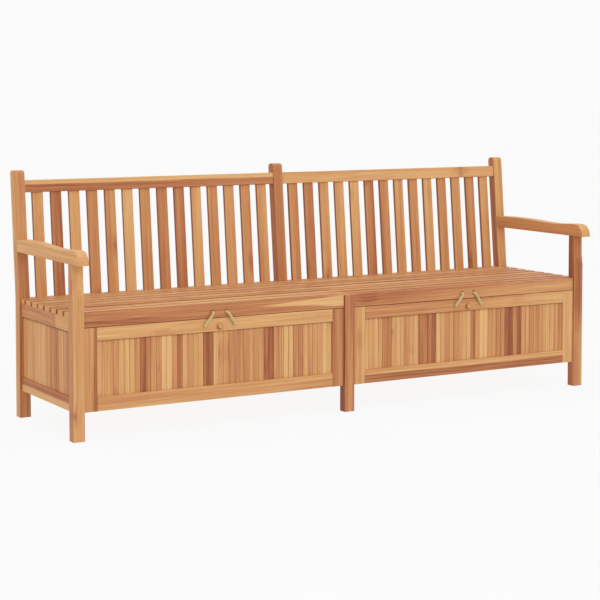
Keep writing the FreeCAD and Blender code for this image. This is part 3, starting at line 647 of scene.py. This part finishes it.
# --- Which wood goes where -----------------------------------------------------------------------------
# Whole boards, from left to right; the side panel's from front to back.
LEFT_BACK_TONES = [
    0.32, 0.86, 0.18, 0.55, 0.36, 0.12, 0.46, 0.66, 0.76, 0.24, 0.46, 0.34,
    0.44, 0.42,
]
RIGHT_BACK_TONES = [
    0.54, 0.70, 0.30, 0.28, 0.20, 0.66, 0.52, 0.28, 0.48, 0.26, 0.46, 0.28,
    0.56, 0.42,
]
LEFT_PANEL_TONES = [
    0.34, 0.36, 0.24, 0.40, 0.82, 0.34, 0.04, 0.62, 0.36, 0.28, 0.92, 0.26,
    0.44, 0.52, 0.38, 0.52, 0.92, 0.56, 0.26, 0.60, 0.34, 0.36, 0.12,
]
RIGHT_PANEL_TONES = [
    0.34, 0.28, 0.60, 0.38, 0.36, 0.22, 0.86, 0.90, 0.22, 0.40, 0.46, 0.30,
    0.56, 0.12, 0.62, 0.60, 0.82, 0.66, 0.40, 0.50, 0.42, 0.38, 0.40,
]
SIDE_TONES = [0.58, 0.50, 0.38, 0.76, 0.62, 0.50, 0.12, 0.30, 0.28, 0.24, 0.30]
LEFT_SEAT_TONES = [0.30, 0.36, 0.60, 0.32, 0.48, 0.26, 0.44, 0.38]
RIGHT_SEAT_TONES = [0.58, 0.34, 0.46, 0.28, 0.42, 0.54, 0.30, 0.40]


HALF_VARIES = 0.12         # most that half a board's tone differs from the whole board's


def shuffled_tones(count, seed):
    pick = random.Random(seed)
    usual = (0.14, 0.26, 0.34, 0.40, 0.48, 0.56, 0.64, 0.76)
    return [pick.choice(usual) for _ in range(count)]


def halved(tones, seed):
    """The tones of both halves of each board, which differ a little either side of its middle groove."""
    pick = random.Random(seed)
    return [max(0.0, tone + pick.uniform(-HALF_VARIES, HALF_VARIES)) for tone in tones for _ in range(2)]


def row_from_middle(start, pitch, tones, side, joint):
    """Row along X of a bay, its tones listed from left to right; side is -1 for the left bay."""
    if side > 0:
        return ("x", start, pitch, tones, joint)
    return ("x", -start - pitch * len(tones), pitch, tones, joint)


def dress(name, material):
    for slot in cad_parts[name].material_slots:
        slot.material = material


def dress_bay(side, word, back_tones, panel_tones, seat_tones):
    """The finishes of one bay: its back, panels and lid."""
    gap = BACK_SLAT_PITCH - BACK_SLAT_WIDTH
    back = row_from_middle(REAR_X0 + gap / 2, BACK_SLAT_PITCH, back_tones, side, 0.0)
    panel = row_from_middle(PANEL_X0, FRONT_PITCH, halved(panel_tones, 31 + side), side, PANEL_JOINT)
    rear = row_from_middle(REAR_X0, REAR_PITCH, shuffled_tones(50, 5 + side), side, PANEL_JOINT)
    seat = ("y", SEAT_ROW_Y, SEAT_PITCH, seat_tones, 0.0)
    side_tones = halved(SIDE_TONES, 7) if side < 0 else shuffled_tones(22, 3)
    side_row = ("y", SIDE_BOARD_Y, SIDE_PITCH, side_tones, PANEL_JOINT)
    seed = 40.0 + 100.0 * side
    woods = {
        "back_slats": teak(f"{word}_back_slat_teak", "z", 0.4, row=back, lean=True, edge=1.1, plank=seed,
                           figure=0.55, knots=0.9),
        "front_boards": teak(f"{word}_panel_teak", "z", 0.4, row=panel, plank=seed + 20,
                             under=FRONT_RAIL_UNDER),
        "rear_boards": teak(f"{word}_rear_panel_teak", "z", 0.4, row=rear, plank=seed + 50),
        "lid_slats": teak(f"{word}_seat_teak", "x", 0.4, row=seat, plank=seed + 80, figure=0.7, edge=0.4),
        "side_boards": teak(f"{word}_side_panel_teak", "z", 0.4, row=side_row, plank=seed + 7, figure=0.5,
                            under=SIDE_RAIL_UNDER),
    }
    for name, material in woods.items():
        dress(f"{word}_{name}", material)


def dress_wood():
    dress_bay(-1, "left", LEFT_BACK_TONES, LEFT_PANEL_TONES, LEFT_SEAT_TONES)
    dress_bay(1, "right", RIGHT_BACK_TONES, RIGHT_PANEL_TONES, RIGHT_SEAT_TONES)
    fixed_seat = ("y", SEAT_ROW_Y, SEAT_PITCH, LEFT_SEAT_TONES, 0.0)
    # faces gives a piece's sides painted shade, painted light where negative, on top of their own wood.
    finishes = {
        "left_front_post": teak("pale_post_teak", "z", 0.28, plank=2.0, faces=("x", 0.34)),
        "right_front_post": teak("red_post_teak", "z", 0.46, band=("z", 0.27, 0.14, 0.78), plank=3.0,
                                 faces=("x", 0.2)),
        "centre_front_leg": teak("middle_leg_teak", "z", 0.70, plank=4.0, knots=0.0, faces=("x", 0.3)),
        # Darker below the arm: painted shadow of the arm on the post; its sides are painted lighter than its
        # front.
        "left_rear_post": teak("left_rear_post_teak", "z", 0.72, band=("z", 0.64, 0.03, 0.52),
                               lean=True, plank=5.0,
                               knots=0.0, faces=("x", -0.32)),
        "right_rear_post": teak("right_rear_post_teak", "z", 0.28, lean=True, plank=6.0, faces=("x", 0.55)),
        "centre_rear_post": teak("middle_rear_post_teak", "z", 0.66, lean=True, plank=7.0, figure=0.3,
                                 knots=0.0,
                                 faces=("x", 0.2)),
        "left_armrest": teak("left_arm_teak", "y", 0.18, plank=8.0, knots=0.0, figure=0.4, faces=("x", 0.06)),
        "right_armrest": teak("right_arm_teak", "y", 0.20, plank=9.0, knots=0.0, figure=0.4,
                              faces=("x", 0.30)),
        "left_back_top_rail": teak("left_top_rail_teak", "x", 0.76, band=("z", 0.848, 0.004, 0.10),
                                   lean=True, plank=10.0,
                                   knots=0.0),
        "right_back_top_rail": teak("right_top_rail_teak", "x", 0.18, lean=True, plank=11.0),
        "left_back_lower_rail": teak("left_lower_rail_teak", "x", 0.46, plank=12.0),
        "right_back_lower_rail": teak("right_lower_rail_teak", "x", 0.42, plank=13.0),
        "left_front_top_rail": teak("left_panel_top_rail_teak", "x", 0.24, plank=14.0, figure=0.62),
        "right_front_top_rail": teak("right_panel_top_rail_teak", "x", 0.56,
                                     band=("x", 0.75, 0.5, 0.30), plank=15.0, figure=0.55),
        "left_front_bottom_rail": teak("left_panel_bottom_rail_teak", "x", 0.44, plank=16.0, knots=0.0),
        "right_front_bottom_rail": teak("right_panel_bottom_rail_teak", "x", 0.88,
                                        band=("z", 0.128, 0.004, 0.32), plank=17.0,
                                        knots=0.0),
        "left_front_stiles": teak("left_stile_teak", "z", 0.38, band=("x", -1.0245, 0.004, 0.76),
                                  plank=18.0, knots=0.0),
        "right_front_stiles": teak("right_stile_teak", "z", 0.48, band=("x", 0.0575, 0.003, 0.26),
                                   plank=19.0, figure=0.6),
        "left_side_top_rail": teak("left_side_top_rail_teak", "y", 0.30,
                                   band=("y", -0.085, 0.002, 0.60), plank=20.0, knots=0.4,
                                   teeth=0.012),
        "right_side_top_rail": teak("right_side_top_rail_teak", "y", 0.40, plank=21.0),
        "side_bottom_rails": teak("side_bottom_rail_teak", "y", 0.26, band=("z", 0.124, 0.003, 0.72),
                                  plank=22.0, knots=0.0),
        "left_lid_front_rail": teak("left_lid_rail_teak", "x", 0.68, plank=23.0, knots=0.0,
                                    wedge=(-0.41, -0.023, 0.4165, 0.08)),
        "right_lid_front_rail": teak("right_lid_rail_teak", "x", 0.68, band=("x", 0.55, 0.9, 0.48),
                                     plank=24.0, figure=0.55),
        "left_hinge_strip": teak("left_hinge_strip_teak", "x", 0.40, plank=25.0),
        "right_hinge_strip": teak("right_hinge_strip_teak", "x", 0.36, plank=26.0),
        "end_seat_slats": teak("end_slat_teak", "x", 0.4, row=fixed_seat, plank=27.0, edge=0.4),
        "centre_seat_slats": teak("middle_slat_teak", "x", 0.4, row=fixed_seat, plank=28.0, edge=0.4),
        # The knob's lower half is darker: painted shade on its underside.
        "front_knobs": teak("knob_teak", "y", 0.95, band=("z", 0.364, 0.008, 0.35), plank=29.0, knots=0.0),
        "rear_bottom_rails": teak("rear_bottom_rail_teak", "x", 0.44, plank=30.0),
    }
    for name, material in finishes.items():
        dress(name, material)
    floor_row = ("y", FLOOR_BOARD_Y, FLOOR_PITCH, [0.34, 0.52, 0.26, 0.60, 0.40], 0.0)
    divider_row = ("y", SIDE_BOARD_Y, SIDE_PITCH, shuffled_tones(22, 9), PANEL_JOINT)
    inside = teak("inside_frame_teak", "y", 0.46, plank=31.0)
    dress("floor_boards", teak("floor_board_teak", "x", 0.4, row=floor_row, plank=60.0))
    dress("divider_boards", teak("divider_teak", "z", 0.4, row=divider_row, plank=61.0))
    for name in ("floor_bearers", "divider_bottom_rail", "centre_seat_bearer", "side_seat_bearers",
                 "left_lid_battens", "right_lid_battens"):
        dress(name, inside)


def dress_metal():
    leaves = brass("hinge_brass", 0.4)
    screws = brass("screw_brass", 0.8)
    for name in ("frame_hinge_leaves", "left_lid_hinge_leaves", "right_lid_hinge_leaves"):
        dress(name, leaves)
    for name in ("hinge_pins", "frame_hinge_screws", "left_lid_screws", "right_lid_screws"):
        dress(name, screws)


# --- Floor and light -----------------------------------------------------------------------------------
FLOOR_REACH = 60.0
FLOOR_GLOW_SEEN = 0.912    # keeps the floor near white
FLOOR_GLOW_CAST = 0.73     # what it throws up at the bench
ROOM_WHITE = 0.965
ROOM_LEFT = (0.99, 0.91, 0.82, 1.0)  # the room is warmer and dimmer towards -X


def pale_floor():
    mesh = bpy.data.meshes.new("studio_floor")
    corners = [(x * FLOOR_REACH, y * FLOOR_REACH, 0) for x, y in ((-1, -1), (1, -1), (1, 1), (-1, 1))]
    mesh.from_pydata(corners, [], [(0, 1, 2, 3)])
    floor = bpy.data.objects.new("studio_floor", mesh)
    bpy.context.scene.collection.objects.link(floor)
    material, tree, shader = start_material("pale_floor")
    speckle = noise(tree, node(tree, "ShaderNodeTexCoord").outputs["Object"], (3.0, 3.0, 3.0))
    colour = ramp(tree, speckle, [(0.3, grey(0.048)), (0.7, grey(0.054))])
    tree.links.new(colour, shader.inputs["Base Color"])
    shader.inputs["Roughness"].default_value = 0.9
    shader.inputs["Specular IOR Level"].default_value = 0.0
    shader.inputs["Emission Color"].default_value = (1.0, 1.0, 1.0, 1.0)
    seen = node(tree, "ShaderNodeLightPath").outputs["Is Camera Ray"]
    glow = sums(tree, "MULTIPLY_ADD", seen, FLOOR_GLOW_SEEN - FLOOR_GLOW_CAST, FLOOR_GLOW_CAST)
    tree.links.new(glow, shader.inputs["Emission Strength"])
    mesh.materials.append(material)


def soft_light(name, place, aim, size, power):
    data = bpy.data.lights.new(name, "AREA")
    data.shape = "RECTANGLE"
    data.size, data.size_y = size
    data.energy = power
    lamp = bpy.data.objects.new(name, data)
    lamp.location = place
    lamp.rotation_euler = (Vector(aim) - Vector(place)).to_track_quat("-Z", "Y").to_euler()
    bpy.context.scene.collection.objects.link(lamp)


def studio():
    world = bpy.data.worlds.new("white_room")
    bpy.context.scene.world = world
    world.use_nodes = True
    tree = world.node_tree
    tree.nodes.clear()
    direction = node(tree, "ShaderNodeTexCoord").outputs["Generated"]
    rightward = node(tree, "ShaderNodeSeparateXYZ", {0: direction}).outputs[0]
    leftward = sums(tree, "MULTIPLY", rightward, -1.0, clamp=True)
    unseen = sums(tree, "SUBTRACT", 1.0, node(tree, "ShaderNodeLightPath").outputs["Is Camera Ray"])
    tint = blend_colour(tree, sums(tree, "MULTIPLY", leftward, unseen), (1.0, 1.0, 1.0, 1.0), ROOM_LEFT)
    white = node(tree, "ShaderNodeBackground", {"Color": tint, "Strength": ROOM_WHITE})
    out = node(tree, "ShaderNodeOutputWorld")
    tree.links.new(white.outputs[0], out.inputs[0])
    soft_light("front_window", (-0.6, -4.4, 3.8), (-0.3, 0.0, 0.3), (3.0, 2.0), 44.0)
    bpy.context.scene.view_settings.view_transform = "Standard"


# --- Making it -----------------------------------------------------------------------------------------
place_camera()
fibre = rope_fibre("rope_fibre")
for word, side in (("left", -1), ("right", 1)):
    for tail, outward in (("inner", -side), ("outer", side)):
        hole_x = side * BAY_MID + outward * ROPE_HALF_SPACING
        rope_tail(f"{word}_rope_{tail}", f"{word}_lid", hole_x, outward, fibre, 11 + side + 2 * outward)
    rope_knots(word, fibre)
dress_wood()
dress_metal()
pale_floor()
studio()
